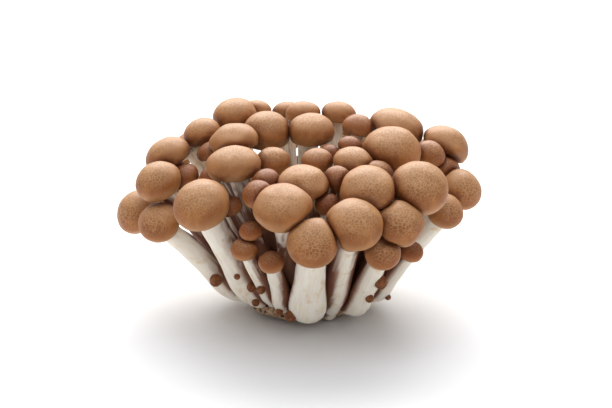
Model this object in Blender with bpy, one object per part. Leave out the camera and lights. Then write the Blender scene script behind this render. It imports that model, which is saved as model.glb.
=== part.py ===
"""Beech mushroom cluster: capped mushrooms crowding up and out of one matted butt.

Lengths in the tables are millimetres, angles are degrees. The finished object is in metres,
its butt standing on z = 0 with +Z up, and its widest spread along X.
"""
import math

import bmesh
import bpy
import numpy as np
from mathutils import Vector
from mathutils.bvhtree import BVHTree

NAME = "beech_mushroom_cluster"
MM = 0.001

SIDES = 10              # facets round a stem and a cap
STEM_RINGS = 6          # sections along a stem, the root and the junction included
PATH_POINTS = 13        # points on a stem's centre line while the bunch settles
GAP = 0.38              # clear space between pressed neighbours

BUTT_CENTRE = 3.4       # where the butt stands along X, in the tables' own measure
BUTT_FOOT = 15.0        # radius of the flat foot
BUTT_WAIST = 20.5       # radius of the butt at its widest
BUTT_WAIST_Z = 4.0      # height of the widest section
BUTT_TOP_Z = 8.5        # height of the butt's domed middle
BUTT_SIDES = 28
ROOT_RADIUS = 17.4      # the stems are rooted within this radius

FOOT_SWELL = 1.32       # stem thickness low down, times its middle
NECK = 0.78             # stem thickness under the cap, times its middle
CAP_FULLNESS = 1.05     # a faceted cap is drawn this much wider than its round width
RIM_INSET = 0.95        # width of the cap's flat underside, times its full width
BELLY = 0.16            # height of the cap's widest section, times its rise

# name, centre of the cap x, y, z, cap width, rise over width, tilt, heading, stem thickness
CROWN = (
    ("mushroom_01", -22.0, 24.0, 60.5, 14.5, 0.52, 10, -160, 5.4),
    ("mushroom_02", -33.0, 14.0, 56.5, 12.5, 0.52, 22, -170, 5.0),
    ("mushroom_03", -11.0, 10.0, 58.5, 15.5, 0.58, 12, -100, 5.6),
    ("mushroom_04", -15.0, 32.0, 59.0, 10.5, 0.50, 20, 110, 4.2),
    ("mushroom_05", -4.0, 36.0, 57.5, 11.0, 0.50, 22, 95, 4.2),
    ("mushroom_06", 1.5, 26.0, 60.0, 12.0, 0.50, 12, 85, 5.0),
    ("mushroom_07", 13.5, 27.0, 59.5, 12.0, 0.52, 12, 60, 5.0),
    ("mushroom_08", 4.0, 11.0, 58.5, 15.0, 0.50, 8, -90, 5.8),
    ("mushroom_09", 20.0, 14.0, 58.5, 10.5, 0.55, 12, 30, 5.0),
    ("mushroom_10", 33.0, 17.0, 58.0, 18.5, 0.46, 14, 10, 7.0),
    ("mushroom_11", 49.5, 13.0, 53.0, 16.0, 0.50, 24, -5, 6.6),
)
INNER = (
    ("mushroom_12", -44.0, 6.0, 51.5, 15.0, 0.48, 26, -175, 6.6),
    ("mushroom_13", -22.0, 3.0, 57.5, 15.5, 0.46, 12, 180, 6.2),
    ("mushroom_14", -29.0, 5.0, 52.5, 9.5, 0.45, 25, 175, 4.8),
    ("mushroom_15", -21.0, -13.0, 54.0, 17.0, 0.44, 8, -120, 7.0),
    ("mushroom_16", -8.5, -6.0, 52.5, 11.0, 0.55, 15, -100, 5.0),
    ("mushroom_17", 6.0, -7.0, 53.0, 10.0, 0.50, 12, -80, 4.8),
    ("mushroom_18", 10.0, 1.0, 53.0, 7.0, 0.50, 10, -60, 3.2),
    ("mushroom_19", 18.0, -9.0, 53.5, 13.0, 0.46, 12, -60, 5.4),
    ("mushroom_20", 17.0, 3.0, 55.0, 8.0, 0.50, 10, 0, 3.4),
    ("mushroom_21", 30.0, -4.0, 56.0, 18.5, 0.52, 22, -80, 7.2),
    ("mushroom_22", 43.5, 3.0, 52.0, 10.0, 0.60, 30, -30, 5.2),
    ("mushroom_23", 49.5, 5.0, 46.5, 9.5, 0.50, 44, -30, 5.0),
)
SHOULDER = (
    ("mushroom_24", -46.0, -8.0, 46.5, 14.5, 0.50, 32, -120, 7.4),
    ("mushroom_25", -38.0, -1.0, 45.5, 9.5, 0.50, 34, -140, 5.2),
    ("mushroom_26", -31.0, -28.0, 45.0, 17.5, 0.46, 38, -115, 9.6),
    ("mushroom_27", -13.0, -28.0, 48.0, 9.5, 0.50, 35, -110, 5.6),
    ("mushroom_28", -10.5, -21.0, 50.0, 9.0, 0.50, 28, -110, 4.8),
    ("mushroom_29", -5.0, -37.0, 47.0, 17.5, 0.39, 30, -95, 8.4),
    ("mushroom_30", 1.5, -24.0, 50.5, 16.0, 0.44, 18, -85, 7.2),
    ("mushroom_31", 12.5, -20.0, 50.5, 9.0, 0.60, 30, -70, 4.8),
    ("mushroom_32", 26.0, -15.0, 51.0, 9.0, 0.50, 30, -50, 4.8),
    ("mushroom_33", 22.0, -29.0, 49.0, 17.6, 0.46, 32, -85, 7.8),
    ("mushroom_34", 38.0, -24.0, 49.0, 18.2, 0.50, 38, -80, 8.6),
    ("mushroom_35", 54.0, -2.0, 41.5, 13.6, 0.52, 50, -50, 6.8),
    ("mushroom_36", 9.0, -28.0, 44.5, 7.5, 0.50, 45, -80, 4.4),
    ("mushroom_37", -22.0, -19.0, 41.0, 7.5, 0.50, 30, -140, 4.6),
    ("mushroom_38", -29.0, -6.0, 47.0, 8.0, 0.50, 35, -160, 4.6),
)
SKIRT = (
    ("mushroom_39", -55.0, 2.5, 32.0, 14.5, 0.50, 58, -140, 6.4),
    ("mushroom_40", -45.5, -14.0, 34.0, 13.2, 0.48, 48, -110, 7.4),
    ("mushroom_41", 17.0, -40.0, 42.5, 17.0, 0.46, 40, -80, 8.4),
    ("mushroom_42", 5.0, -44.0, 38.0, 15.5, 0.48, 52, -90, 10.2),
    ("mushroom_43", 31.0, -33.0, 40.5, 15.0, 0.48, 44, -80, 7.4),
    ("mushroom_44", 47.5, -14.0, 38.0, 12.0, 0.48, 44, -60, 8.4),
    ("mushroom_45", 26.5, -36.0, 32.0, 11.0, 0.50, 48, -80, 7.0),
    ("mushroom_46", 36.0, -24.0, 27.5, 7.4, 0.50, 30, -70, 5.6),
    ("mushroom_47", -15.0, -30.0, 36.5, 7.2, 0.48, 26, -100, 4.6),
    ("mushroom_48", -17.0, -31.0, 31.0, 8.6, 0.46, 24, -105, 5.4),
    ("mushroom_49", -8.5, -35.0, 28.0, 8.0, 0.48, 26, -95, 5.8),
)
BACK = (
    ("mushroom_50", -38.0, 26.0, 48.0, 15.0, 0.46, 48, 145, 7.2),
    ("mushroom_51", -24.0, 38.0, 49.0, 16.0, 0.45, 44, 122, 7.0),
    ("mushroom_52", -7.0, 45.0, 47.0, 16.0, 0.45, 48, 98, 7.0),
    ("mushroom_53", 11.0, 42.0, 49.0, 15.5, 0.46, 42, 78, 7.2),
    ("mushroom_54", 27.0, 35.0, 49.5, 16.0, 0.46, 44, 52, 7.0),
    ("mushroom_55", 42.0, 26.0, 45.0, 15.0, 0.46, 54, 32, 7.2),
    ("mushroom_56", -47.0, 16.0, 37.0, 13.0, 0.50, 64, 160, 6.8),
    ("mushroom_57", -30.0, 37.0, 34.0, 14.5, 0.48, 66, 130, 7.4),
    ("mushroom_58", 2.0, 47.0, 32.0, 15.0, 0.50, 68, 88, 7.0),
    ("mushroom_59", 32.0, 37.0, 33.0, 14.5, 0.48, 64, 48, 7.4),
)
ROWS = CROWN + INNER + SHOULDER + SKIRT + BACK


def clear_scene():
    for thing in list(bpy.data.objects):
        bpy.data.objects.remove(thing, do_unlink=True)


def new_collection(name):
    home = bpy.data.collections.new(name)
    bpy.context.scene.collection.children.link(home)
    return home


def material(name, colour, roughness):
    made = bpy.data.materials.new(name)
    made.use_nodes = True
    shader = made.node_tree.nodes["Principled BSDF"]
    shader.inputs["Base Color"].default_value = (*colour, 1.0)
    shader.inputs["Roughness"].default_value = roughness
    shader.inputs["Metallic"].default_value = 0.0
    return made


def unit(vectors):
    return vectors / np.maximum(np.linalg.norm(vectors, axis=-1, keepdims=True), 1e-9)


# ---------------------------------------------------------------- the bunch as numbers

def cap_axes():
    tilt = np.radians([row[6] for row in ROWS])
    head = np.radians([row[7] for row in ROWS])
    flat = np.sin(tilt)
    return np.stack([flat * np.cos(head), flat * np.sin(head), np.cos(tilt)], axis=1)


def settle_caps(centre, axis, half, rise):
    """Caps that crowd each other shift a little, mostly to the front or the back."""
    ease = np.array([0.2, 1.0, 0.2])
    for _ in range(60):
        away = centre[:, None] - centre[None]
        apart = np.linalg.norm(away, axis=2) + np.eye(len(centre)) * 999.0
        along = away / apart[..., None]
        lean = np.einsum("ijk,ik->ij", along, axis)
        reach = np.sqrt(half[:, None] ** 2 * (1 - lean ** 2) + (0.5 * rise[:, None] * lean) ** 2)
        press = np.maximum(0.86 * (reach + reach.T) - apart, 0.0)
        centre = centre + 0.2 * np.einsum("ij,ijk->ik", press, along) * ease
    return centre


def butt_top(radius):
    return BUTT_WAIST_Z + (BUTT_TOP_Z - BUTT_WAIST_Z) * (1 - (radius / BUTT_WAIST) ** 2)


def settle_roots(joint, thick):
    """Stems share out the top of the butt, each on the side its cap is on."""
    spread = np.hypot(joint[:, 0], joint[:, 1])
    lean = np.degrees(np.arctan2(spread, joint[:, 2]))
    inward = (lean / 58.0) ** 0.85 * ROOT_RADIUS / np.maximum(spread, 0.1)
    root = joint[:, :2] * inward[:, None]
    for _ in range(150):
        away = root[:, None] - root[None]
        apart = np.linalg.norm(away, axis=2) + np.eye(len(root)) * 999.0
        press = np.maximum(0.52 * (thick[:, None] + thick[None]) - apart, 0.0)
        root = root + 0.25 * np.einsum("ij,ijk->ik", press / apart, away)
        far = np.maximum(np.linalg.norm(root, axis=1) / ROOT_RADIUS, 1.0)
        root = root / far[:, None]
    height = butt_top(np.linalg.norm(root, axis=1)) + GAP
    return np.column_stack([root, height])


def first_paths(root, joint, axis):
    """A stem leaves the butt towards its cap and bends in square to the cap's underside."""
    reach = np.linalg.norm(joint - root, axis=1)[:, None]
    leave = unit(unit(joint - root) + np.array([0.0, 0.0, 0.25]))
    second = root + leave * reach * 0.36
    third = joint - axis * reach * 0.24
    steps = np.linspace(0.0, 1.0, PATH_POINTS)[None, :, None]
    one, two, three, four = (p[:, None] for p in (root, second, third, joint))
    late = 1 - steps
    curve = late ** 3 * one + 3 * late ** 2 * steps * two
    return curve + 3 * late * steps ** 2 * three + steps ** 3 * four


def stem_profile(thick):
    steps = np.linspace(0.0, 1.0, PATH_POINTS)
    shape = np.interp(steps, [0.0, 0.12, 0.45, 0.8, 1.0], [1.05, FOOT_SWELL, 1.0, 0.88, NECK])
    return 0.5 * thick[:, None] * shape[None]


def cap_field(points, joint, axis, half, rise):
    """How far points lie outside a cap, less than nothing within it."""
    reach = points - joint
    up = reach @ axis
    out = np.linalg.norm(reach - up[..., None] * axis, axis=-1)
    belly = BELLY * rise
    tall = np.maximum(up - belly, 0.0) / (rise - belly)
    round_part = (np.sqrt((out / half) ** 2 + tall ** 2) - 1.0) * 0.5 * (half + rise)
    return np.maximum(round_part, -up)


def settle_paths(path, radius, joint, axis, half, rise):
    """Stems slide apart from each other and from the caps they pass."""
    count, steps = radius.shape
    owner = np.repeat(np.arange(count), steps)
    thick = radius.reshape(-1)
    same = owner[:, None] == owner[None]
    middle = joint + axis * rise[:, None] * 0.45
    for _ in range(90):
        flat = path.reshape(-1, 3)
        away = flat[:, None] - flat[None]
        apart = np.linalg.norm(away, axis=2) + same * 999.0
        press = np.maximum(0.94 * (thick[:, None] + thick[None]) - apart, 0.0)
        push = 0.16 * np.einsum("ij,ijk->ik", press / apart, away)
        for cap in range(count):
            field = cap_field(flat, joint[cap], axis[cap], half[cap], rise[cap])
            deep = np.maximum(thick * 0.95 + 0.3 - field, 0.0) * (owner != cap)
            deep = np.minimum(deep, 2.0) * (np.linalg.norm(flat - middle[cap], axis=1) < 16)
            outward = unit(flat - middle[cap])
            push = push + 0.3 * deep[:, None] * outward
        moved = path + push.reshape(path.shape)
        path[:, 1:-1] = moved[:, 1:-1]
        fair = 0.5 * (path[:, :-2] + path[:, 2:])
        path[:, 1:-1] = 0.6 * path[:, 1:-1] + 0.4 * fair
    return path


def stem_field(points, path, radius):
    """How far points lie outside a stem, less than nothing within it."""
    best = np.full(points.shape[0], 1e9)
    for step in range(len(path) - 1):
        side = path[step + 1] - path[step]
        part = np.clip((points - path[step]) @ side / (side @ side), 0.0, 1.0)
        near = path[step] + part[:, None] * side
        wide = radius[step] + part * (radius[step + 1] - radius[step])
        best = np.minimum(best, np.linalg.norm(points - near, axis=1) - wide)
    return best


def lift_off_butt(points):
    """Points lower than the domed top of the butt rise to just clear of it."""
    out = np.minimum(np.hypot(points[:, 0], points[:, 1]), BUTT_WAIST)
    points[:, 2] = np.maximum(points[:, 2], butt_top(out) + GAP)
    return points


class Bunch:
    """Every mushroom's cap and stem, settled against its neighbours."""

    def __init__(self):
        self.axis = cap_axes()
        self.half = np.array([row[4] for row in ROWS]) * 0.5 * CAP_FULLNESS
        self.rise = np.array([row[4] * row[5] for row in ROWS])
        thick = np.array([row[8] for row in ROWS])
        centre = np.array([row[1:4] for row in ROWS]) - np.array([BUTT_CENTRE, 0.0, 0.0])
        centre = settle_caps(centre, self.axis, self.half, self.rise)
        self.joint = centre - self.axis * self.rise[:, None] * 0.45
        root = settle_roots(self.joint, thick)
        self.radius = stem_profile(thick)
        path = first_paths(root, self.joint, self.axis)
        self.path = settle_paths(path, self.radius, self.joint, self.axis, self.half, self.rise)

    def field(self, which, points):
        cap = cap_field(points, self.joint[which], self.axis[which], self.half[which],
                        self.rise[which])
        stem = stem_field(points, self.path[which], self.radius[which])
        return np.minimum(cap, stem)

    def neighbours(self, which):
        reach = np.linalg.norm(self.path[which][:, None, None] - self.path[None], axis=3)
        wide = 2.2 * (self.half[which] + self.half)
        near = reach.min(axis=(0, 2)) < wide
        near[which] = False
        return np.nonzero(near)[0]

    def press(self, which, points, anchors):
        """Draw points towards their anchors until every neighbour is clear of them."""
        others = self.neighbours(which)
        low = np.zeros(len(points))
        high = np.ones(len(points))
        for step in range(11):
            share = np.ones(len(points)) if step == 0 else 0.5 * (low + high)
            tried = anchors + share[:, None] * (points - anchors)
            own = self.field(which, tried)
            clear = np.ones(len(points), dtype=bool)
            for other in others:
                clear &= self.field(other, tried) - own >= GAP
            low = np.where(clear, share, low)
            high = np.where(clear, high, share)
            if step == 0:
                high = np.where(clear, 1.0, high)
        return lift_off_butt(anchors + low[:, None] * (points - anchors)), low


# ---------------------------------------------------------------- sections of a mushroom

def ring_about(centre, along, start, reach):
    """A ring of points round a centre, square to a direction."""
    side = unit(start - along * (start @ along))
    over = np.cross(along, side)
    angle = np.arange(SIDES) * 2 * math.pi / SIDES
    wheel = np.cos(angle)[:, None] * side + np.sin(angle)[:, None] * over
    return centre + wheel * reach


def stem_sections(bunch, which, start):
    rings, anchors = [], []
    at = np.linspace(0, PATH_POINTS - 1, STEM_RINGS)
    path, radius = bunch.path[which], bunch.radius[which]
    index = np.arange(PATH_POINTS)
    for spot in at:
        centre = np.array([np.interp(spot, index, path[:, axis]) for axis in range(3)])
        ahead = np.array([np.interp(spot + 0.6, index, path[:, axis]) for axis in range(3)])
        behind = np.array([np.interp(spot - 0.6, index, path[:, axis]) for axis in range(3)])
        along = unit(ahead - behind)
        if spot == at[0]:
            out = np.array([centre[0], centre[1], 0.0]) / BUTT_WAIST
            along = unit(np.array([0.0, 0.0, 1.0]) + 0.44 * out)
        if spot == at[-1]:
            centre, along = bunch.joint[which], bunch.axis[which]
        rings.append(ring_about(centre, along, start, np.interp(spot, index, radius)))
        anchors.append(np.repeat(centre[None], SIDES, axis=0))
    return rings, anchors


def cap_sections(bunch, which, start):
    """The flat underside's rim, the belly and two rounded sections of the dome."""
    axis, joint = bunch.axis[which], bunch.joint[which]
    half, rise = bunch.half[which], bunch.rise[which]
    belly = BELLY * rise
    rings = [ring_about(joint, axis, start, half * RIM_INSET)]
    for turn in (6.0, 34.0, 62.0):
        up = belly + (rise - belly) * math.sin(math.radians(turn))
        out = half * math.cos(math.radians(turn))
        rings.append(ring_about(joint + axis * up, axis, start, out))
    anchors = [np.repeat(joint[None], SIDES, axis=0)] * len(rings)
    return rings, anchors


def mushroom_sections(bunch, which):
    start = np.array([math.cos(which * 2.4), math.sin(which * 2.4), 0.3])
    stem, stem_anchor = stem_sections(bunch, which, start)
    cap, cap_anchor = cap_sections(bunch, which, start)
    tip = bunch.joint[which] + bunch.axis[which] * bunch.rise[which]
    points = np.concatenate(stem + cap + [tip[None]])
    anchors = np.concatenate(stem_anchor + cap_anchor + [bunch.joint[which][None]])
    pressed, share = bunch.press(which, points, anchors)
    return pressed, anchors, share


# ---------------------------------------------------------------- solid bodies

def loft(name, points, home, finish):
    """A closed skin: a ring of edges drawn from section to section, then to a tip."""
    mesh = bmesh.new()
    made = bmesh.ops.create_circle(mesh, cap_ends=True, segments=SIDES, radius=MM)
    ring = list(made["verts"])
    for vert, spot in zip(ring, points):
        vert.co = Vector(spot * MM)
    bottom = mesh.faces[:]
    sections = (len(points) - 1) // SIDES
    for section in range(1, sections + 1):
        edges = [edge for edge in mesh.edges if edge.verts[0] in ring and edge.verts[1] in ring]
        made = bmesh.ops.extrude_edge_only(mesh, edges=edges)
        grown = [item for item in made["geom"] if isinstance(item, bmesh.types.BMVert)]
        ring = follow(ring, grown)
        if section == sections:
            bmesh.ops.pointmerge(mesh, verts=ring, merge_co=Vector(points[-1] * MM))
            break
        for number, vert in enumerate(ring):
            vert.co = Vector(points[section * SIDES + number] * MM)
    bmesh.ops.triangulate(mesh, faces=[face for face in mesh.faces if face not in bottom])
    bmesh.ops.recalc_face_normals(mesh, faces=mesh.faces[:])
    return finish_body(name, mesh, home, finish)


def follow(ring, grown):
    """The new ring in the order of the old: each new point shares an edge with its old one."""
    order = []
    for vert in ring:
        linked = [edge.other_vert(vert) for edge in vert.link_edges]
        order.append(next(other for other in linked if other in grown))
    return order


def finish_body(name, mesh, home, finish):
    data = bpy.data.meshes.new(name)
    mesh.to_mesh(data)
    mesh.free()
    body = bpy.data.objects.new(name, data)
    data.materials.append(finish)
    home.objects.link(body)
    return body


def make_butt(home, finish):
    """The matted butt: a flat foot flaring to a low dome that the stems stand on."""
    profile = [(BUTT_FOOT, 0.0), (BUTT_FOOT + 2.6, 1.4), (BUTT_WAIST, BUTT_WAIST_Z)]
    for radius in (16.5, 11.5, 6.0):
        profile.append((radius, butt_top(radius)))
    mesh = bmesh.new()
    made = bmesh.ops.create_circle(mesh, cap_ends=True, segments=BUTT_SIDES, radius=MM)
    ring = list(made["verts"])
    for level, (radius, height) in enumerate(profile):
        if level:
            edges = [edge for edge in mesh.edges
                     if edge.verts[0] in ring and edge.verts[1] in ring]
            made = bmesh.ops.extrude_edge_only(mesh, edges=edges)
            grown = [item for item in made["geom"] if isinstance(item, bmesh.types.BMVert)]
            ring = follow(ring, grown)
        for number, vert in enumerate(ring):
            angle = number * 2 * math.pi / BUTT_SIDES
            ragged = 0.35 * math.sin(5 * angle + level) + 0.25 * math.sin(9 * angle + 1.0)
            wide = radius + (ragged if level < 3 else 0.0)
            spot = (wide * math.cos(angle), wide * math.sin(angle), height)
            vert.co = Vector(spot) * MM
    edges = [edge for edge in mesh.edges if edge.verts[0] in ring and edge.verts[1] in ring]
    made = bmesh.ops.extrude_edge_only(mesh, edges=edges)
    grown = [item for item in made["geom"] if isinstance(item, bmesh.types.BMVert)]
    bmesh.ops.pointmerge(mesh, verts=grown, merge_co=Vector((0, 0, BUTT_TOP_Z * MM)))
    flat = [face for face in mesh.faces if len(face.verts) > 4]
    bmesh.ops.triangulate(mesh, faces=[face for face in mesh.faces if face not in flat])
    bmesh.ops.recalc_face_normals(mesh, faces=mesh.faces[:])
    return finish_body("mycelium_base", mesh, home, finish)


# ---------------------------------------------------------------- clearing the last touches

def tree_of(body):
    spots = [vert.co.copy() for vert in body.data.vertices]
    faces = [tuple(face.vertices) for face in body.data.polygons]
    return BVHTree.FromPolygons(spots, faces)


def near_pairs(bodies):
    boxes = []
    for body in bodies:
        spots = np.array([vert.co for vert in body.data.vertices])
        boxes.append((spots.min(axis=0) - 0.0004, spots.max(axis=0) + 0.0004))
    pairs = []
    for one in range(len(bodies)):
        for two in range(one + 1, len(bodies)):
            low = np.maximum(boxes[one][0], boxes[two][0])
            high = np.minimum(boxes[one][1], boxes[two][1])
            if (low < high).all():
                pairs.append((one, two))
    return pairs


def draw_in(body, faces, anchors, amount):
    touched = {vert for face in faces for vert in body.data.polygons[face].vertices}
    for number in touched:
        if number < len(anchors):
            vert = body.data.vertices[number]
            vert.co += (Vector(anchors[number] * MM) - vert.co) * amount


def clear_touches(bodies, anchors):
    """Where two skins still cross, draw both in towards their own middles."""
    pairs = near_pairs(bodies)
    for turn in range(30):
        trees = [tree_of(body) for body in bodies]
        crossing = 0
        for one, two in pairs:
            hits = trees[one].overlap(trees[two])
            if hits:
                crossing += 1
                draw_in(bodies[one], {hit[0] for hit in hits}, anchors[one], 0.05)
                draw_in(bodies[two], {hit[1] for hit in hits}, anchors[two], 0.05)
        if not crossing:
            break
    print("crossing pairs left:", crossing, "after", turn)


def main():
    clear_scene()
    home = new_collection(NAME)
    cap_skin = material("mushroom", (0.33, 0.20, 0.115), 0.62)
    mat_skin = material("mycelium", (0.42, 0.29, 0.18), 0.85)
    bunch = Bunch()
    bodies, anchors = [], []
    for which, row in enumerate(ROWS):
        points, anchor, share = mushroom_sections(bunch, which)
        if share.min() < 0.45:
            print(row[0], "pressed", round(float(share.min()), 2), int(share.argmin()))
        bodies.append(loft(row[0], points, home, cap_skin))
        anchors.append(anchor)
    bodies.append(make_butt(home, mat_skin))
    anchors.append([])
    clear_touches(bodies, anchors)


main()
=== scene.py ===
"""Looks of the beech mushroom cluster: caps, gills, stems, pins and the matted butt."""
import math

import bmesh
import bpy
import numpy as np
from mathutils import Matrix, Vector, noise
from mathutils.bvhtree import BVHTree


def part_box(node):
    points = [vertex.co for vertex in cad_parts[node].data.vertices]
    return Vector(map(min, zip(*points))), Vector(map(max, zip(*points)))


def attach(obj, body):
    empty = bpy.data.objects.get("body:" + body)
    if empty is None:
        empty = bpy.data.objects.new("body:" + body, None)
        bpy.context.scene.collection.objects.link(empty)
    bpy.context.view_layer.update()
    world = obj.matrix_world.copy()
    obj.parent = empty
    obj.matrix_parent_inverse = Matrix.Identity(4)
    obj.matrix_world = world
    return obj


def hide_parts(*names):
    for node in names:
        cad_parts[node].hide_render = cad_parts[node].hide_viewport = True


MM = 0.001
CAP_SLIM = 0.995        # the frame's faceted caps are drawn a little wide
CAP_SIDES = 64
GILLS = 44
STEM_SIDES = 28
STEM_ROWS = 34
ROLL = ((0.992, -0.060), (0.968, -0.105), (0.930, -0.130), (0.885, -0.120),
        (0.845, -0.060), (0.815, 0.060))
LOOKS = 9               # looks outward from a point when asking how buried it is, for the painted shade
LOOK_REACH = 15.0       # mm, how far each of those looks
CAP_TOUCH = 1.2         # mm, closer than this a neighbour paints shade on a cap
STEM_TOUCH = 1.5        # mm, the same for a stem
FOOT_ROWS = 5           # rows of a stem that run on below its root
CLEAR = 0.3 * MM        # nothing but the butt comes lower than this
FRONT_LEFT = (-0.50, -0.866, 0.0)
BULGE = 3.4             # mm, how far the butt swells on its front-left side
GRAIN_ROUND = 2.6       # how the fibres' coordinates run round a stem
GRAIN_ALONG = 0.07      # and along it, so that fibres come out long
GILL_RINGS = (0.815, 0.74, 0.64, 0.53, 0.42, 0.31, 0.22)

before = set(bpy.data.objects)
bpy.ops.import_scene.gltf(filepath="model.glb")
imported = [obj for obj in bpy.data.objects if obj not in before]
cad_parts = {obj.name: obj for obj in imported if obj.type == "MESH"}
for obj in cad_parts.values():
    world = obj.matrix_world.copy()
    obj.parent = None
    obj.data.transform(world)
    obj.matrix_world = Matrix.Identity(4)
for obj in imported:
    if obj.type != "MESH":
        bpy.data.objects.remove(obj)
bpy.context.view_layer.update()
MUSHROOMS = sorted(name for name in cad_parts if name.startswith("mushroom"))


# ---------------------------------------------------------------- small helpers

def unit(vectors):
    return vectors / np.maximum(np.linalg.norm(vectors, axis=-1, keepdims=True), 1e-12)


def fresh():
    """Back to object mode with nothing selected."""
    if bpy.context.object and bpy.context.object.mode != "OBJECT":
        bpy.ops.object.mode_set(mode="OBJECT")
    bpy.ops.object.select_all(action="DESELECT")


def coords(mesh):
    spots = np.empty(len(mesh.vertices) * 3)
    mesh.vertices.foreach_get("co", spots)
    return spots.reshape(-1, 3)


def set_coords(mesh, spots):
    mesh.vertices.foreach_set("co", np.ascontiguousarray(spots, dtype=np.float64).ravel())
    mesh.update()


def store(mesh, name, values, kind="FLOAT"):
    """A named value on every vertex, for the materials to read."""
    layer = mesh.attributes.get(name) or mesh.attributes.new(name, kind, "POINT")
    field = "vector" if kind == "FLOAT_VECTOR" else "value"
    layer.data.foreach_set(field, np.ascontiguousarray(values, dtype=np.float32).ravel())


def copy_of(master, name, finish):
    made = bpy.data.objects.new(name, master.data.copy())
    made.data.name = name
    bpy.context.scene.collection.objects.link(made)
    made.data.materials.clear()
    made.data.materials.append(finish)
    return made


def place(piece, slot, *nodes):
    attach(piece, "root")
    if nodes:
        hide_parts(*nodes)


def wobble(spots, scale, seed):
    """Smooth unevenness, about -1 to 1, at each spot."""
    shift = Vector((seed * 7.13, seed * 3.71, seed * 5.37))
    return np.array([noise.noise(Vector(p) * scale + shift) for p in spots]) * 1.6


# ---------------------------------------------------------------- reading the frame

def merged(node):
    mesh = bmesh.new()
    mesh.from_mesh(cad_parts[node].data)
    bmesh.ops.remove_doubles(mesh, verts=mesh.verts[:], dist=1e-7)
    mesh.verts.ensure_lookup_table()
    mesh.verts.index_update()
    return mesh


def levels_from(tip):
    """Rings of points, walking away from one point over the edges."""
    seen, now, rings = {tip}, {tip}, [[tip]]
    while now:
        now = {e.other_vert(v) for v in now for e in v.link_edges} - seen
        if now:
            rings.append(list(now))
            seen |= now
    return rings


def sections_of(mesh):
    """A mushroom's rings of points: its tip, the dome, the rim, the junction, the stem."""
    best = []
    for vert in mesh.verts:
        if len(vert.link_edges) >= 8:
            rings = levels_from(vert)
            even = [len(ring) for ring in rings[1:]]
            if min(even) == max(even) and len(rings) > len(best):
                best = rings
    return best


class Radial:
    """A smooth radius over directions, passing through measured ones."""

    def __init__(self, keys, values, ease=0.0):
        self.keys = keys
        count, width = keys.shape
        away = np.linalg.norm(keys[:, None] - keys[None], axis=2)
        full = np.zeros((count + width + 1, count + width + 1))
        full[:count, :count] = away ** 3 + np.eye(count) * ease
        full[:count, count] = 1.0
        full[:count, count + 1:] = keys
        full[count:, :count] = full[:count, count:].T
        right = np.concatenate([values, np.zeros(width + 1)])
        self.weights = np.linalg.lstsq(full, right, rcond=None)[0]

    def at(self, keys):
        count = len(self.keys)
        away = np.linalg.norm(keys[:, None] - self.keys[None], axis=2)
        base = self.weights[count] + keys @ self.weights[count + 1:]
        return away ** 3 @ self.weights[:count] + base


class Mushroom:
    """One mushroom as measured on its node: cap axis, outline, centre line, thickness."""

    def __init__(self, node, number):
        self.node, self.number = node, number
        mesh = merged(node)
        rings = [np.array([v.co for v in ring]) for ring in sections_of(mesh)]
        mesh.free()
        dome, rim, inner = rings[:4], rings[4], rings[5]
        self.joint = inner.mean(axis=0)
        flat = np.concatenate([rim, inner]) - self.joint
        self.axis = np.linalg.svd(flat, full_matrices=False)[2][2]
        self.axis = self.axis * np.sign(self.axis @ (rings[0][0] - self.joint))
        self.side = unit(np.cross(self.axis, [0.3, 0.9, 0.2]))
        self.over = np.cross(self.axis, self.side)
        self.read_cap(np.concatenate(dome), rim)
        self.read_stem(rings[5:][::-1])

    def read_cap(self, dome, rim):
        both = np.concatenate([dome, rim]) - self.joint
        reach = np.linalg.norm(both, axis=1)
        self.cap = Radial(self.local(unit(both)), reach, 1e-3)
        self.half = np.median(reach[-len(rim):]) / 0.95 * CAP_SLIM
        self.rise = reach[0]

    def local(self, vectors):
        return vectors @ np.array([self.side, self.over, self.axis]).T

    def world(self, vectors):
        return vectors @ np.array([self.side, self.over, self.axis])

    def read_stem(self, rings):
        middles = np.array([ring.mean(axis=0) for ring in rings])
        self.knots = middles
        steps = np.linalg.norm(np.diff(middles, axis=0), axis=1)
        self.marks = np.concatenate([[0.0], np.cumsum(steps)])
        self.length = self.marks[-1]
        keys, values = [], []
        for ring, mark in zip(rings, self.marks):
            centre, side, over = self.section(mark)
            for vert in ring:
                out = vert - centre
                x, y = out @ side, out @ over
                wide = math.hypot(x, y)
                keys.append((1.6 * mark / self.length, x / wide * 0.5, y / wide * 0.5))
                values.append(wide)
        self.stem = Radial(np.array(keys), np.array(values), 1e-3)
        self.thick = float(np.median(values))

    def line(self, mark):
        """The centre line, rounded through the measured middles."""
        last = len(self.knots) - 1
        part = int(np.clip(np.searchsorted(self.marks, mark) - 1, 0, last - 1))
        span = self.marks[part + 1] - self.marks[part]
        t = (mark - self.marks[part]) / span
        tangent = np.gradient(self.knots, self.marks, axis=0)
        one, two = self.knots[part], self.knots[part + 1]
        if t < 0:
            return one + tangent[part] * span * t
        if t > 1:
            return two + tangent[part + 1] * span * (t - 1)
        a = 2 * t ** 3 - 3 * t ** 2 + 1
        b = t ** 3 - 2 * t ** 2 + t
        c = -2 * t ** 3 + 3 * t ** 2
        d = t ** 3 - t ** 2
        lead = tangent[part] * b + tangent[part + 1] * d
        return one * a + two * c + lead * span

    def section(self, mark):
        """A point on the centre line and two directions square to it."""
        step = self.length * 0.02
        centre = self.line(mark)
        along = unit(self.line(mark + step) - self.line(mark - step))
        side = unit(self.side - along * (self.side @ along))
        return centre, side, np.cross(along, side)


# ---------------------------------------------------------------- masters

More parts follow.
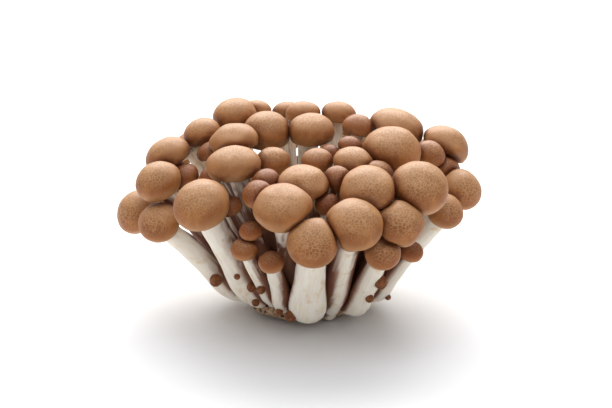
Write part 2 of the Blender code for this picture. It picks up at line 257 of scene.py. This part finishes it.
def master_cap():
    """A round cap: half a ball, its edge drawn down and rolled in under itself."""
    fresh()
    bpy.ops.mesh.primitive_uv_sphere_add(segments=CAP_SIDES, ring_count=40, radius=1.0)
    cap = bpy.context.object
    bpy.ops.object.mode_set(mode="EDIT")
    bpy.ops.mesh.select_all(action="SELECT")
    bpy.ops.mesh.bisect(plane_co=(0, 0, 0), plane_no=(0, 0, 1), clear_inner=True)
    bpy.ops.mesh.select_all(action="DESELECT")
    bpy.ops.mesh.select_non_manifold(extend=False)
    width = 1.0
    drop = 0.0
    for reach, height in ROLL:
        bpy.ops.mesh.extrude_region_move()
        factor = reach / width
        bpy.ops.transform.resize(value=(factor, factor, 1.0), center_override=(0, 0, 0))
        bpy.ops.transform.translate(value=(0, 0, height - drop))
        width, drop = reach, height
    bpy.ops.object.mode_set(mode="OBJECT")
    bpy.ops.object.shade_smooth()
    return tidy_master(cap, "cap_master")


def master_gills():
    """A pleated ring: thin blades side by side, running from the cap's edge to the stem."""
    fresh()
    bpy.ops.mesh.primitive_circle_add(vertices=GILLS * 4, radius=GILL_RINGS[0])
    gills = bpy.context.object
    bpy.ops.object.mode_set(mode="EDIT")
    bpy.ops.mesh.select_all(action="SELECT")
    width = GILL_RINGS[0]
    for reach in GILL_RINGS[1:]:
        bpy.ops.mesh.extrude_region_move()
        factor = reach / width
        bpy.ops.transform.resize(value=(factor, factor, 1.0), center_override=(0, 0, 0))
        width = reach
    bpy.ops.mesh.select_all(action="SELECT")
    bpy.ops.mesh.normals_make_consistent(inside=False)
    bpy.ops.object.mode_set(mode="OBJECT")
    bpy.ops.object.shade_smooth()
    return tidy_master(gills, "gill_master")


def master_stem():
    """A closed tube along +Z, from 0 to 1, with its foot and head drawn in."""
    fresh()
    bpy.ops.mesh.primitive_circle_add(vertices=STEM_SIDES, radius=1.0, fill_type="NGON")
    stem = bpy.context.object
    bpy.ops.object.mode_set(mode="EDIT")
    bpy.ops.mesh.select_all(action="SELECT")
    for _ in range(STEM_ROWS):
        step = (0, 0, 1.0 / STEM_ROWS)
        bpy.ops.mesh.extrude_region_move(TRANSFORM_OT_translate={"value": step})
    bpy.ops.mesh.select_all(action="SELECT")
    bpy.ops.mesh.normals_make_consistent(inside=False)
    bpy.ops.object.mode_set(mode="OBJECT")
    bpy.ops.object.shade_smooth()
    return tidy_master(stem, "stem_master")


def tidy_master(thing, name):
    """A pattern to copy from, kept out of the scene."""
    thing.name = name
    bpy.context.scene.collection.objects.unlink(thing)
    return thing


# ---------------------------------------------------------------- pieces of a mushroom

def make_cap(master, mush, finish, others):
    piece = copy_of(master, mush.node.replace("mushroom", "cap"), finish)
    spots = coords(piece.data)
    flat = np.hypot(spots[:, 0], spots[:, 1])
    dome = np.abs(np.linalg.norm(spots, axis=1) - 1.0) < 0.003
    dome &= spots[:, 2] > -0.01
    ways = unit(np.where(dome[:, None], spots, spots * np.array([1, 1, 0])))
    reach = mush.cap.at(ways) * CAP_SLIM
    local = ways * reach[:, None]
    edge = np.where(dome, 1.0, flat)
    local[:, :2] *= edge[:, None]
    local[~dome, 2] = spots[~dome, 2] * mush.rise
    world = mush.world(local)
    out = unit(world)
    lumps = wobble(world / MM, 0.16, mush.number) * 0.020 * mush.half
    ripple = wobble(world / MM, 0.45, mush.number + 40) * 0.006 * mush.half
    world = world + out * (lumps + ripple)[:, None] + mush.joint
    polar = np.arccos(np.clip(ways[:, 2], 0, 1)) / (math.pi / 2)
    polar = np.where(dome, polar, 1.0 + (1.0 - edge))
    set_coords(piece.data, world)
    store(piece.data, "polar", polar)
    store(piece.data, "tone", np.full(len(world), tone_of(mush)))
    # how close a neighbour comes, the mask for painted shade where parts touch
    store(piece.data, "crowd", crowding(world, others, CAP_TOUCH))
    # how buried each point is, the mask for painted shade
    store(piece.data, "buried", buried(piece.data, others))
    # how far the skin faces up, the mask for the painted top light
    store(piece.data, "painted_top_light", [vert.normal.z for vert in piece.data.vertices])
    return piece


def tone_of(mush):
    """0 for a young dark cap, 1 for a pale full-grown one."""
    grown = np.clip((mush.half / MM - 3.6) / 4.0, 0.0, 1.0)
    vary = 0.5 + 0.5 * math.sin(mush.number * 12.9898)
    return float(np.clip(0.78 * grown + 0.22 * vary, 0.0, 1.0))


def make_gills(master, mush, finish):
    piece = copy_of(master, mush.node.replace("mushroom", "gills"), finish)
    spots = coords(piece.data)
    flat = np.hypot(spots[:, 0], spots[:, 1])
    ways = unit(spots * np.array([1, 1, 0]))
    turn = np.arctan2(spots[:, 1], spots[:, 0])
    column = np.round(turn / (2 * math.pi) * GILLS * 4).astype(int)
    deep = np.where(column % 4 == 0, 1.0, np.where(column % 4 == 2, 0.0, 0.5))
    short = (column // 4) % 2 == 1
    edge = mush.cap.at(ways) * CAP_SLIM
    middle = np.interp(flat, [0.22, 0.4, 0.7, 0.815], [-0.10, -0.03, 0.0, 0.10])
    top = np.interp(flat, [0.22, 0.5, 0.815], [0.10, 0.17, 0.12])
    fade = np.where(short, np.clip((flat - 0.45) / 0.2, 0, 1), 1.0)
    height = top + (middle - top) * deep * fade
    core = np.clip(0.95 * mush.thick * 0.78 / np.maximum(edge, 1e-6), 0.1, 0.7)
    share = core + (flat - GILL_RINGS[-1]) / (0.815 - GILL_RINGS[-1]) * (0.825 - core)
    local = ways * (edge * share)[:, None]
    local[:, 2] = height * mush.rise
    set_coords(piece.data, mush.world(local) + mush.joint)
    store(piece.data, "deep", deep * fade)
    store(piece.data, "tone", np.full(len(spots), tone_of(mush)))
    return piece


def matted_side(spot):
    """1 on the front-left side, where the butt itself stands out, 0 elsewhere."""
    toward = unit(np.asarray(spot) * np.array([1, 1, 0])) @ np.array(FRONT_LEFT)
    return np.clip((toward - 0.72) / 0.20, 0.0, 1.0)


def foot_path(mush, depth):
    """How an outer stem's foot runs down over the side of the butt."""
    root = mush.knots[0]
    out = np.array([root[0], root[1], 0.0])
    far = np.linalg.norm(out)
    way = unit(out)
    wide = np.clip((far / MM - 11.5) / 4.5, 0.0, 1.0) * (1.0 - 0.85 * matted_side(root))
    down = np.array([0.0, 0.0, -1.0]) * (0.9 + 3.3 * wide) * MM
    inward = -way * (1.2 + 1.0 * wide) * wide * MM
    drop = root + (down + inward) * depth
    drop[2] = max(drop[2], 0.55 * MM)
    return drop, wide


def stem_place(mush, row):
    """For one row of a stem: its mark, middle, two directions square to it, and thinning."""
    if row < FOOT_ROWS:
        share = (FOOT_ROWS - row) / FOOT_ROWS
        _, side, over = mush.section(0.0)
        middle, wide = foot_path(mush, share)
        slim = math.sqrt(max(1.0 - (share * (0.55 + 0.35 * wide)) ** 2, 0.0))
        return 0.0, middle, side, over, slim
    part = (row - FOOT_ROWS) / (STEM_ROWS - FOOT_ROWS)
    head = 0.12 * mush.rise
    mark = part * (mush.length + head)
    return mark, *mush.section(mark), 1.0


def stem_ring(mush, row, angle):
    """One row of a stem's points, and where they lie in its grain."""
    mark, middle, side, over, slim = stem_place(mush, row)
    inside = min(mark, mush.length) / mush.length
    keys = np.column_stack([np.full(len(angle), 1.6 * inside),
                            0.5 * np.cos(angle), 0.5 * np.sin(angle)])
    reach = np.maximum(mush.stem.at(keys), 0.25 * mush.thick) * slim
    reach = reach * (1.0 + 0.10 * np.clip((inside - 0.9) / 0.1, 0, 1) ** 2)
    way = np.cos(angle)[:, None] * side + np.sin(angle)[:, None] * over
    along = (row - FOOT_ROWS) / (STEM_ROWS - FOOT_ROWS) * mush.length / MM
    grain = np.column_stack([np.cos(angle) * GRAIN_ROUND, np.sin(angle) * GRAIN_ROUND,
                             np.full(len(angle), along * GRAIN_ALONG)])
    return middle + way * reach[:, None], grain


def roughened(mush, world, grain, heights):
    """A stem's points with shallow ridges along its fibres and soft lumps."""
    ridges = wobble(grain * np.array([0.55, 0.55, 1.6]), 1.0, mush.number)
    lumps = wobble(world / MM, 0.22, mush.number + 11)
    middle_line = np.array([mush.line(min(max(z, 0), 1) * mush.length) for z in heights])
    out = unit(world - middle_line)
    world = world + out * (ridges * 0.07 + lumps * 0.13)[:, None] * MM
    world[:, 2] = np.maximum(world[:, 2], CLEAR)
    return world


def make_stem(master, mush, finish, others):
    piece = copy_of(master, mush.node.replace("mushroom", "stem"), finish)
    spots = coords(piece.data)
    turn = np.arctan2(spots[:, 1], spots[:, 0])
    rows = np.round(spots[:, 2] * STEM_ROWS).astype(int)
    world = np.zeros_like(spots)
    grain = np.zeros_like(spots)
    for row in range(STEM_ROWS + 1):
        here = rows == row
        world[here], grain[here] = stem_ring(mush, row, turn[here])
    grain[:, 0] += mush.number * 1.7
    world = roughened(mush, world, grain, spots[:, 2])
    set_coords(piece.data, world)
    store(piece.data, "grain", grain, "FLOAT_VECTOR")
    store(piece.data, "along", np.clip(spots[:, 2], 0, 1))
    # how close a neighbour comes, the mask for painted shade where parts touch
    store(piece.data, "crowd", crowding(world, others, STEM_TOUCH))
    # how buried each point is, the mask for painted shade
    store(piece.data, "buried", buried(piece.data, others))
    return piece


def crowding(spots, others, reach):
    """1 where a neighbour all but touches, 0 where the nearest is over the reach (mm) away; the
    mask for painted shade.
    """
    found = np.zeros(len(spots))
    for number, spot in enumerate(spots):
        near = others.find_nearest(Vector(spot), reach * MM)
        if near[3] is not None:
            found[number] = 1.0 - near[3] / (reach * MM)
    return found


def buried(mesh, others):
    """How much of the looks outward from each point is cut short by a neighbour: the mask for
    painted shade.
    """
    reach = LOOK_REACH * MM
    turn = np.arange(LOOKS) * 2.39996
    rise = 1.0 - (np.arange(LOOKS) + 0.5) / LOOKS * 0.92
    flat = np.sqrt(1.0 - rise ** 2)
    looks = [Vector(p) for p in zip(flat * np.cos(turn), flat * np.sin(turn), rise)]
    found = np.zeros(len(mesh.vertices))
    for vert in mesh.vertices:
        face = vert.normal.to_track_quat("Z", "Y")
        start = vert.co + vert.normal * 0.4 * MM
        hits = [others.ray_cast(start, face @ look, reach)[3] for look in looks]
        found[vert.index] = sum(1.0 - hit / reach for hit in hits if hit is not None)
    return found / LOOKS


def tree_without(node):
    """The surfaces of every other node."""
    spots, faces = [], []
    for name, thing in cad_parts.items():
        if name == node:
            continue
        start = len(spots)
        spots.extend(v.co.copy() for v in thing.data.vertices)
        faces.extend([start + i for i in f.vertices] for f in thing.data.polygons)
    return BVHTree.FromPolygons(spots, faces)


# ---------------------------------------------------------------- butt and pins

def make_butt(finish):
    """The matted butt: a lumpy low dome over a cut flat foot."""
    low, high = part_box("mycelium_base")
    wide, tall = (high.x - low.x) * 0.5, high.z
    fresh()
    bpy.ops.mesh.primitive_circle_add(vertices=160, radius=wide * 0.72, fill_type="NGON")
    butt = bpy.context.object
    bpy.ops.object.mode_set(mode="EDIT")
    bpy.ops.mesh.select_all(action="SELECT")
    bpy.ops.mesh.normals_make_consistent(inside=False)
    outline = [(0.75, 0.02), (0.80, 0.07), (0.86, 0.14), (0.915, 0.22), (0.955, 0.32),
               (0.975, 0.42), (0.975, 0.51), (0.95, 0.60), (0.91, 0.67), (0.85, 0.73),
               (0.77, 0.79), (0.68, 0.84), (0.56, 0.89), (0.42, 0.93), (0.24, 0.96), (0.06, 0.98)]
    before, height = 0.72, 0.0
    for reach, up in outline:
        bpy.ops.mesh.extrude_region_move()
        factor = reach / before
        bpy.ops.transform.resize(value=(factor, factor, 1), center_override=(0, 0, 0))
        bpy.ops.transform.translate(value=(0, 0, (up - height) * tall))
        before, height = reach, up
    bpy.ops.mesh.select_all(action="SELECT")
    bpy.ops.mesh.normals_make_consistent(inside=False)
    bpy.ops.object.mode_set(mode="OBJECT")
    bpy.ops.object.shade_smooth()
    butt.name = "matted_butt"
    butt.data.materials.append(finish)
    spots = coords(butt.data)
    out = unit(spots * np.array([1, 1, 0]) + np.array([0, 0, 0.002]))
    lumps = wobble(spots / MM, 0.28, 3) * 0.55 + wobble(spots / MM, 0.8, 8) * 0.28
    lumps += wobble(spots / MM, 2.2, 12) * 0.10
    free = np.clip(spots[:, 2] / (0.8 * MM), 0.15, 1.0)
    lumps += matted_side(spots) * BULGE * np.sin(np.clip(spots[:, 2] / tall, 0, 1) * 2.6 + 0.3)
    spots += out * (lumps * free)[:, None] * MM
    spots[:, 2] = np.maximum(spots[:, 2], 0.0)
    set_coords(butt.data, spots)
    return butt


# stem, share of its length up from the root, way round (degrees, -90 is the front), size in mm
PINS = (
    ("mushroom_40", 0.38, -100, 4.2), ("mushroom_26", 0.27, -75, 3.2),
    ("mushroom_26", 0.40, -100, 2.0), ("mushroom_26", 0.14, -105, 2.6),
    ("mushroom_42", 0.22, -130, 3.8), ("mushroom_49", 0.25, -110, 2.4),
    ("mushroom_48", 0.45, -110, 3.0), ("mushroom_41", 0.05, -110, 2.6),
    ("mushroom_45", 0.64, -30, 4.4), ("mushroom_45", 0.45, -60, 2.8),
    ("mushroom_44", 0.30, -60, 2.2), ("mushroom_46", 0.30, -40, 2.0),
    ("mushroom_57", 0.30, 120, 3.4), ("mushroom_58", 0.22, 70, 3.0),
    ("mushroom_59", 0.34, 40, 3.8),
)


def master_pin():
    """A pin: a round little head drawn in to a short neck."""
    fresh()
    bpy.ops.mesh.primitive_uv_sphere_add(segments=28, ring_count=18, radius=0.5)
    pin = bpy.context.object
    bpy.ops.object.mode_set(mode="EDIT")
    bpy.ops.mesh.select_all(action="SELECT")
    bpy.ops.mesh.bisect(plane_co=(0, 0, -0.30), plane_no=(0, 0, 1), clear_inner=True)
    bpy.ops.mesh.select_all(action="DESELECT")
    bpy.ops.mesh.select_non_manifold(extend=False)
    for factor, drop in ((0.86, -0.04), (0.82, 0.0), (0.92, -0.12), (1.05, -0.25)):
        bpy.ops.mesh.extrude_region_move()
        bpy.ops.transform.resize(value=(factor, factor, 1), center_override=(0, 0, 0))
        bpy.ops.transform.translate(value=(0, 0, drop))
    bpy.ops.mesh.edge_face_add()
    bpy.ops.object.mode_set(mode="OBJECT")
    bpy.ops.object.shade_smooth()
    return tidy_master(pin, "pin_master")


def make_pins(master, finish, by_node):
    made = []
    for number, (node, share, turn, size) in enumerate(PINS):
        mush = by_node[node]
        centre, side, over = mush.section(share * mush.length)
        along = np.cross(side, over)
        want = np.array([math.cos(math.radians(turn)), math.sin(math.radians(turn)), 0.0])
        way = unit(want - along * (want @ along))
        key = np.array([[1.6 * share, 0.5 * (way @ side), 0.5 * (way @ over)]])
        reach = float(mush.stem.at(key)[0])
        up = unit(way * 0.85 + along * 0.5)
        flat = unit(np.cross(up, [0.2, 0.4, 1.0]))
        across = np.cross(up, flat)
        piece = copy_of(master, "pin_%02d" % (number + 1), finish)
        spots = coords(piece.data) * size * MM
        uneven = 1.0 + 0.05 * wobble(spots / MM, 0.7, number)
        spots = spots * uneven[:, None]
        world = spots @ np.array([flat, across, up])
        anchor = centre + way * (reach - 0.1 * MM) + up * 0.20 * size * MM
        world = world + anchor
        world[:, 2] = np.maximum(world[:, 2], CLEAR)
        store(piece.data, "polar", coords(master.data)[:, 2] + 0.5)
        set_coords(piece.data, world)
        made.append(piece)
    return made


# ---------------------------------------------------------------- materials

class Nodes:
    """Short words for building a node tree."""

    def __init__(self, tree):
        self.tree = tree
        self.across = 0

    def new(self, kind, **values):
        made = self.tree.nodes.new(kind)
        made.location = (self.across, 0)
        self.across += 180
        for name, value in values.items():
            if hasattr(made, name):
                setattr(made, name, value)
        return made

    def link(self, out, into):
        self.tree.links.new(out, into)

    def feed(self, socket, value):
        if isinstance(value, bpy.types.NodeSocket):
            self.link(value, socket)
        else:
            socket.default_value = value

    def attribute(self, name):
        return self.new("ShaderNodeAttribute", attribute_name=name)

    def millimetres(self):
        where = self.new("ShaderNodeTexCoord")
        scale = self.new("ShaderNodeMapping")
        scale.inputs["Scale"].default_value = (1000, 1000, 1000)
        self.link(where.outputs["Object"], scale.inputs["Vector"])
        return scale.outputs[0]

    def noise(self, vector, scale, detail=3.0, rough=0.55, distort=0.0):
        made = self.new("ShaderNodeTexNoise")
        self.feed(made.inputs["Vector"], vector)
        made.inputs["Scale"].default_value = scale
        made.inputs["Detail"].default_value = detail
        made.inputs["Roughness"].default_value = rough
        made.inputs["Distortion"].default_value = distort
        return made.outputs["Fac"]

    def cells(self, vector, scale, feature="F1", field="Distance"):
        made = self.new("ShaderNodeTexVoronoi", feature=feature)
        self.feed(made.inputs["Vector"], vector)
        made.inputs["Scale"].default_value = scale
        return made.outputs[field]

    def ramp(self, value, low, high, start=0.0, end=1.0):
        made = self.new("ShaderNodeMapRange", interpolation_type="SMOOTHSTEP")
        self.feed(made.inputs["Value"], value)
        made.inputs["From Min"].default_value = low
        made.inputs["From Max"].default_value = high
        made.inputs["To Min"].default_value = start
        made.inputs["To Max"].default_value = end
        return made.outputs[0]

    def sum(self, one, two, kind="ADD"):
        made = self.new("ShaderNodeMath", operation=kind)
        self.feed(made.inputs[0], one)
        self.feed(made.inputs[1], two)
        return made.outputs[0]

    def mix(self, share, one, two, kind="MIX"):
        made = self.new("ShaderNodeMix", data_type="RGBA", blend_type=kind)
        self.feed(made.inputs[0], share)
        self.feed(made.inputs[6], one)
        self.feed(made.inputs[7], two)
        return made.outputs[2]

    def bump(self, height, strength, distance):
        made = self.new("ShaderNodeBump")
        self.feed(made.inputs["Height"], height)
        made.inputs["Strength"].default_value = strength
        made.inputs["Distance"].default_value = distance
        return made.outputs[0]


def new_group(name, inputs, outputs):
    tree = bpy.data.node_groups.new(name, "ShaderNodeTree")
    for label, kind in inputs:
        tree.interface.new_socket(label, in_out="INPUT", socket_type=kind)
    for label, kind in outputs:
        tree.interface.new_socket(label, in_out="OUTPUT", socket_type=kind)
    build = Nodes(tree)
    return tree, build, build.new("NodeGroupInput"), build.new("NodeGroupOutput")


def rgb(red, green, blue):
    """A colour given as it shows on a screen, 0 to 255."""
    tones = [c / 255 for c in (red, green, blue)]
    tones = [t / 12.92 if t < 0.04045 else ((t + 0.055) / 1.055) ** 2.4 for t in tones]
    return (*tones, 1.0)


def marbling_group():
    """Round darker patches parted by a pale net, as on a mushroom's crown."""
    inputs = [("Place", "NodeSocketVector"), ("Crown", "NodeSocketFloat")]
    outputs = [("Patches", "NodeSocketFloat"), ("Net", "NodeSocketFloat"),
               ("Blotches", "NodeSocketFloat")]
    tree, n, given, out = new_group("marbling", inputs, outputs)
    place_in = given.outputs["Place"]
    warp = n.new("ShaderNodeTexNoise")
    n.link(place_in, warp.inputs["Vector"])
    warp.inputs["Scale"].default_value = 0.8
    moved = n.new("ShaderNodeVectorMath", operation="MULTIPLY_ADD")
    n.link(warp.outputs["Color"], moved.inputs[0])
    moved.inputs[1].default_value = (0.9, 0.9, 0.9)
    n.link(place_in, moved.inputs[2])
    edge = n.cells(moved.outputs[0], 0.98, "DISTANCE_TO_EDGE")
    small = n.cells(moved.outputs[0], 1.5, "F1", "Distance")
    net = n.ramp(edge, 0.0, 0.17, 1.0, 0.0)
    net = n.sum(net, given.outputs["Crown"], "MULTIPLY")
    patches = n.ramp(small, 0.15, 0.75, 1.0, 0.0)
    n.link(patches, out.inputs["Patches"])
    n.link(net, out.inputs["Net"])
    n.link(n.noise(place_in, 0.16, 3.0, 0.6, 0.4), out.inputs["Blotches"])
    return tree


def fibre_group():
    """Fine fibres running up a stem, with broad soft stains."""
    inputs = [("Grain", "NodeSocketVector"), ("Place", "NodeSocketVector")]
    outputs = [("Fibres", "NodeSocketFloat"), ("Stains", "NodeSocketFloat")]
    tree, n, given, out = new_group("fibres", inputs, outputs)
    fine = n.noise(given.outputs["Grain"], 3.2, 4.0, 0.62, 0.15)
    broad = n.noise(given.outputs["Grain"], 1.1, 2.0, 0.5, 0.2)
    n.link(n.sum(n.sum(fine, 0.65, "MULTIPLY"), n.sum(broad, 0.35, "MULTIPLY")),
           out.inputs["Fibres"])
    n.link(n.noise(given.outputs["Place"], 0.22, 3.0, 0.6, 0.6), out.inputs["Stains"])
    return tree


def new_material(name, rough, soft=0.0, radius=(0.8, 0.4, 0.2)):
    made = bpy.data.materials.new(name)
    made.use_nodes = True
    shader = made.node_tree.nodes["Principled BSDF"]
    shader.inputs["Roughness"].default_value = rough
    shader.inputs["Specular IOR Level"].default_value = 0.32
    if soft:
        shader.inputs["Subsurface Weight"].default_value = soft
        shader.inputs["Subsurface Radius"].default_value = radius
        shader.inputs["Subsurface Scale"].default_value = 0.0016
    return made, Nodes(made.node_tree), shader


def use_group(n, tree, **feeds):
    made = n.new("ShaderNodeGroup")
    made.node_tree = tree
    for name, socket in feeds.items():
        n.feed(made.inputs[name], socket)
    return made


def cap_material(marbling):
    made, n, shader = new_material("cap skin", 0.50, 0.08)
    shader.inputs["Specular IOR Level"].default_value = 0.42
    where = n.millimetres()
    polar = n.attribute("polar").outputs["Fac"]
    tone = n.attribute("tone").outputs["Fac"]
    painted_top_light = n.attribute("painted_top_light").outputs["Fac"]
    crown = n.ramp(polar, 0.20, 0.82, 1.0, 0.0)
    marks = use_group(n, marbling, Place=where, Crown=crown)
    young = n.mix(n.ramp(polar, 0.35, 0.95), rgb(134, 64, 14), rgb(164, 94, 38))
    grown = n.mix(n.ramp(marks.outputs["Blotches"], 0.35, 0.68), rgb(150, 86, 34),
                  rgb(177, 112, 54))
    base = n.mix(n.ramp(tone, 0.20, 0.80), young, grown)
    spots = n.sum(marks.outputs["Patches"], n.ramp(crown, 0.0, 0.6, 0.12, 0.46), "MULTIPLY")
    shaded = n.mix(spots, base, rgb(124, 66, 26))
    # painted top light: the skin lightened where it faces up, standing in for the sheen of the
    # light from above
    top_light_share = n.sum(n.ramp(painted_top_light, 0.10, 0.95, 0.0, 0.52), n.ramp(tone, 0.15, 0.75, 0.12, 1.0),
                   "MULTIPLY")
    top_lit = n.mix(top_light_share, shaded, rgb(204, 158, 112))
    net_share = n.sum(marks.outputs["Net"], n.ramp(tone, 0.0, 0.8, 0.10, 0.56), "MULTIPLY")
    netted = n.mix(net_share, top_lit, rgb(214, 172, 128))
    rim = n.mix(n.sum(n.ramp(polar, 0.66, 1.02, 0.0, 0.62), n.ramp(tone, 0.0, 0.8, 0.55, 1.0),
                      "MULTIPLY"), netted, rgb(202, 156, 108))
    # painted shade: the cap darkened and browned where neighbours block the light
    dark = n.mix(n.ramp(n.attribute("buried").outputs["Fac"], 0.08, 0.45, 0.0, 0.74), rim,
                 rgb(104, 50, 20))
    # painted shade where a neighbour all but touches the cap
    touch_shade = n.mix(n.ramp(n.attribute("crowd").outputs["Fac"], 0.35, 1.0, 0.0, 0.60), dark,
                  rgb(80, 34, 12))
    n.link(touch_shade, shader.inputs["Base Color"])
    height = n.sum(n.noise(where, 2.4, 4.0, 0.65), n.sum(marks.outputs["Net"], 0.35, "MULTIPLY"),
                   "SUBTRACT")
    n.link(n.bump(height, 0.30, 0.00020), shader.inputs["Normal"])
    return made


def stem_material(fibres):
    made, n, shader = new_material("stem flesh", 0.55, 0.25, (1.0, 0.7, 0.45))
    where = n.millimetres()
    grain = n.attribute("grain").outputs["Vector"]
    crowd = n.attribute("crowd").outputs["Fac"]
    along = n.attribute("along").outputs["Fac"]
    hidden = n.attribute("buried").outputs["Fac"]
    marks = use_group(n, fibres, Grain=grain, Place=where)
    base = n.mix(n.ramp(marks.outputs["Fibres"], 0.30, 0.68), rgb(243, 229, 210),
                 rgb(252, 245, 233))
    stained = n.mix(n.ramp(marks.outputs["Stains"], 0.54, 0.72, 0.0, 0.60), base,
                    rgb(224, 196, 152))
    low = n.mix(n.ramp(along, 0.02, 0.20, 0.30, 0.0), stained, rgb(214, 184, 144))
    # painted shade: the stem darkened and browned where neighbours block the light
    buried_shade = n.mix(n.ramp(hidden, 0.08, 0.34, 0.0, 0.92), low, rgb(124, 62, 26))
    # painted shade where a neighbour all but touches the stem
    touch_shade = n.mix(n.ramp(crowd, 0.42, 0.92, 0.0, 0.78), buried_shade, rgb(100, 46, 18))
    n.link(touch_shade, shader.inputs["Base Color"])
    n.link(n.bump(marks.outputs["Fibres"], 0.14, 0.00015), shader.inputs["Normal"])
    return made


def gill_material():
    made, n, shader = new_material("gills", 0.62, 0.15, (1.0, 0.7, 0.45))
    where = n.millimetres()
    deep = n.attribute("deep").outputs["Fac"]
    base = n.mix(n.noise(where, 0.5), rgb(226, 206, 176), rgb(240, 226, 204))
    # painted shade in the slots between the blades, none on the blade edges
    cut = n.mix(n.ramp(deep, 0.0, 0.7, 0.75, 0.0), base, rgb(168, 130, 92))
    n.link(cut, shader.inputs["Base Color"])
    n.link(n.bump(n.noise(where, 3.0), 0.2, 0.0001), shader.inputs["Normal"])
    return made


def pin_material():
    made, n, shader = new_material("pin skin", 0.55, 0.1)
    where = n.millimetres()
    polar = n.attribute("polar").outputs["Fac"]
    skin = n.mix(n.ramp(n.noise(where, 0.9), 0.35, 0.7), rgb(112, 62, 28), rgb(150, 92, 50))
    neck = n.mix(n.ramp(polar, 0.02, 0.2, 0.85, 0.0), skin, rgb(205, 172, 134))
    n.link(neck, shader.inputs["Base Color"])
    n.link(n.bump(n.noise(where, 2.6), 0.3, 0.0002), shader.inputs["Normal"])
    return made


def butt_material():
    made, n, shader = new_material("matted butt", 0.78, 0.08)
    where = n.millimetres()
    squash = n.new("ShaderNodeMapping")
    n.link(where, squash.inputs["Vector"])
    squash.inputs["Scale"].default_value = (1.0, 1.0, 0.35)
    mat = n.noise(squash.outputs[0], 1.5, 6.0, 0.68, 0.8)
    pits = n.cells(where, 0.34, "F1", "Distance")
    holes = n.ramp(pits, 0.16, 0.34, 1.0, 0.0)
    base = n.mix(n.ramp(mat, 0.36, 0.64), rgb(150, 110, 76), rgb(214, 188, 156))
    blot = n.mix(n.ramp(n.noise(where, 0.35, 3.0), 0.48, 0.66, 0.0, 0.6), base,
                 rgb(120, 78, 48))
    # painted shade: the pits coloured near black for the shade inside them
    dark = n.mix(holes, blot, rgb(48, 28, 16))
    n.link(dark, shader.inputs["Base Color"])
    height = n.sum(mat, holes, "SUBTRACT")
    n.link(n.bump(height, 0.7, 0.0006), shader.inputs["Normal"])
    return made


# ---------------------------------------------------------------- room, light, camera

def plain(name, colour, rough=0.9):
    made = bpy.data.materials.new(name)
    made.use_nodes = True
    shader = made.node_tree.nodes["Principled BSDF"]
    shader.inputs["Base Color"].default_value = colour
    shader.inputs["Roughness"].default_value = rough
    shader.inputs["Specular IOR Level"].default_value = 0.15
    return made


def make_floor():
    fresh()
    bpy.ops.mesh.primitive_plane_add(size=12.0, location=(0, 2.0, 0))
    floor = bpy.context.object
    floor.name = "floor"
    floor.data.materials.append(plain("floor", (0.88, 0.88, 0.885, 1.0)))


def soft_light(name, place_at, aim, size, power, colour=(1, 1, 1)):
    lamp = bpy.data.lights.new(name, "AREA")
    lamp.shape = "RECTANGLE"
    lamp.size, lamp.size_y = size
    lamp.energy = power
    lamp.color = colour
    thing = bpy.data.objects.new(name, lamp)
    bpy.context.scene.collection.objects.link(thing)
    thing.location = place_at
    thing.rotation_euler = (Vector(aim) - Vector(place_at)).to_track_quat("-Z", "Y").to_euler()


def make_light():
    world = bpy.data.worlds.new("studio")
    bpy.context.scene.world = world
    world.use_nodes = True
    back = world.node_tree.nodes["Background"]
    back.inputs["Color"].default_value = (0.96, 0.98, 1.0, 1.0)
    back.inputs["Strength"].default_value = 0.47
    soft_light("softbox above", (-0.06, 0.72, 0.74), (0, 0.02, 0.03), (1.1, 0.8), 9.0)
    soft_light("top fill", (0.0, -0.05, 0.90), (0, 0, 0), (0.8, 0.8), 3.0)
    soft_light("backdrop wash", (0.0, 2.6, 2.0), (0, 2.4, 0), (3.0, 2.0), 90.0)


def make_camera():
    target = Vector((-0.0011, 0.0, 0.035))
    lift = math.radians(18.0)
    away = 0.560
    camera = bpy.data.cameras.new("camera")
    thing = bpy.data.objects.new("camera", camera)
    bpy.context.scene.collection.objects.link(thing)
    thing.location = target + Vector((0, -math.cos(lift), math.sin(lift))) * away
    thing.rotation_euler = (target - thing.location).to_track_quat("-Z", "Y").to_euler()
    camera.lens = 100.0
    camera.sensor_width = 36.0
    camera.clip_start = 0.01
    camera.clip_end = 50.0
    bpy.context.scene.camera = thing
    scene = bpy.context.scene
    scene.view_settings.view_transform = "Standard"
    scene.view_settings.look = "None"


def main():
    caps, gills, stems, pins = master_cap(), master_gills(), master_stem(), master_pin()
    marbling, fibres = marbling_group(), fibre_group()
    cap_skin, stem_flesh = cap_material(marbling), stem_material(fibres)
    gill_flesh, pin_skin = gill_material(), pin_material()
    by_node = {}
    for number, node in enumerate(MUSHROOMS):
        mush = Mushroom(node, number + 1)
        by_node[node] = mush
        others = tree_without(node)
        place(make_cap(caps, mush, cap_skin, others), "cap", node)
        place(make_gills(gills, mush, gill_flesh), "gill", node)
        place(make_stem(stems, mush, stem_flesh, others), "stem", node)
    place(make_butt(butt_material()), "butt", "mycelium_base")
    for pin in make_pins(pins, pin_skin, by_node):
        place(pin, "pin")
    for master in (caps, gills, stems, pins):
        bpy.data.objects.remove(master)
    make_floor()
    make_light()
    make_camera()


main()
